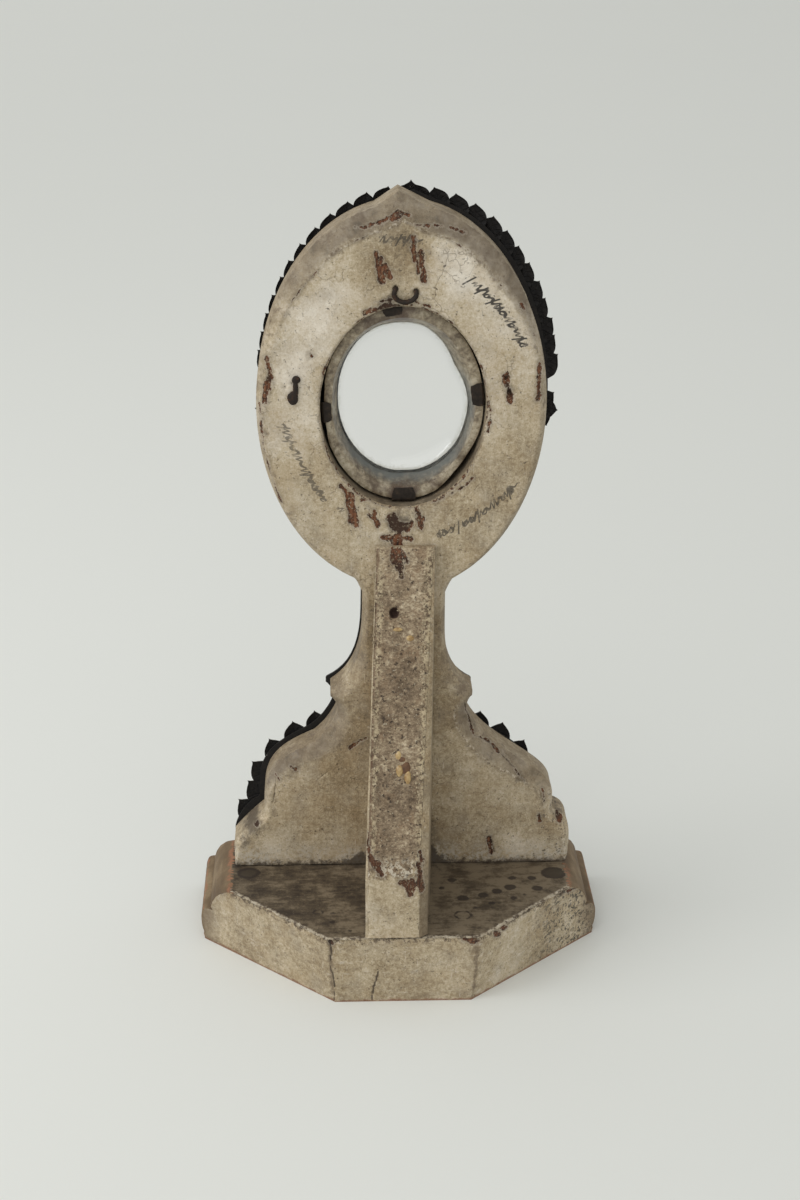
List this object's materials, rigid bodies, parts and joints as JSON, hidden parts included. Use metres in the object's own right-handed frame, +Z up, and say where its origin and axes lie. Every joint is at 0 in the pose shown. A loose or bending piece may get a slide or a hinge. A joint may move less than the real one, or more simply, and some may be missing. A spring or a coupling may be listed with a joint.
{
  "type": "reliquary",
  "caption": "Standing reliquary: a painted wooden board with an oval glazed window, faced with embossed silver sheet and braced by a strut on a moulded plinth.",
  "frame": {"origin": "middle of the plinth's underside, on the surface that it stands on", "axes": "+Z up, -Y the way the silver front looks, +X to the right of someone facing the front"},
  "size_m": [0.1502, 0.0841, 0.2828],
  "materials": {
    "gesso_paint": "cream gesso and paint over wood, dirty, worn and chipped",
    "moulding_paint": "varnished silver leaf over red bole on the mouldings, cream paint on the back",
    "dusty_paint": "cream paint under thick grey dust, pitted",
    "tarnished_silver": "embossed silver sheet, tarnished dark in the hollows and at the edges",
    "old_glass": "clear domed glass, clouded on its flank by old glue",
    "dark_tin": "blackened tin plate",
    "dark_iron": "dark iron with brown rust"
  },
  "bodies": {
    "root": {"plinth": "moulding_paint", "back_board": "gesso_paint", "strut": "dusty_paint", "silver_front": "tarnished_silver", "window_glass": "old_glass", "tab_top": "dark_tin", "tab_left": "dark_tin", "tab_right": "dark_tin", "tab_bottom": "dark_tin", "hanging_loop": "dark_iron", "clinched_nail": "dark_iron"}
  },
  "joints": []
}
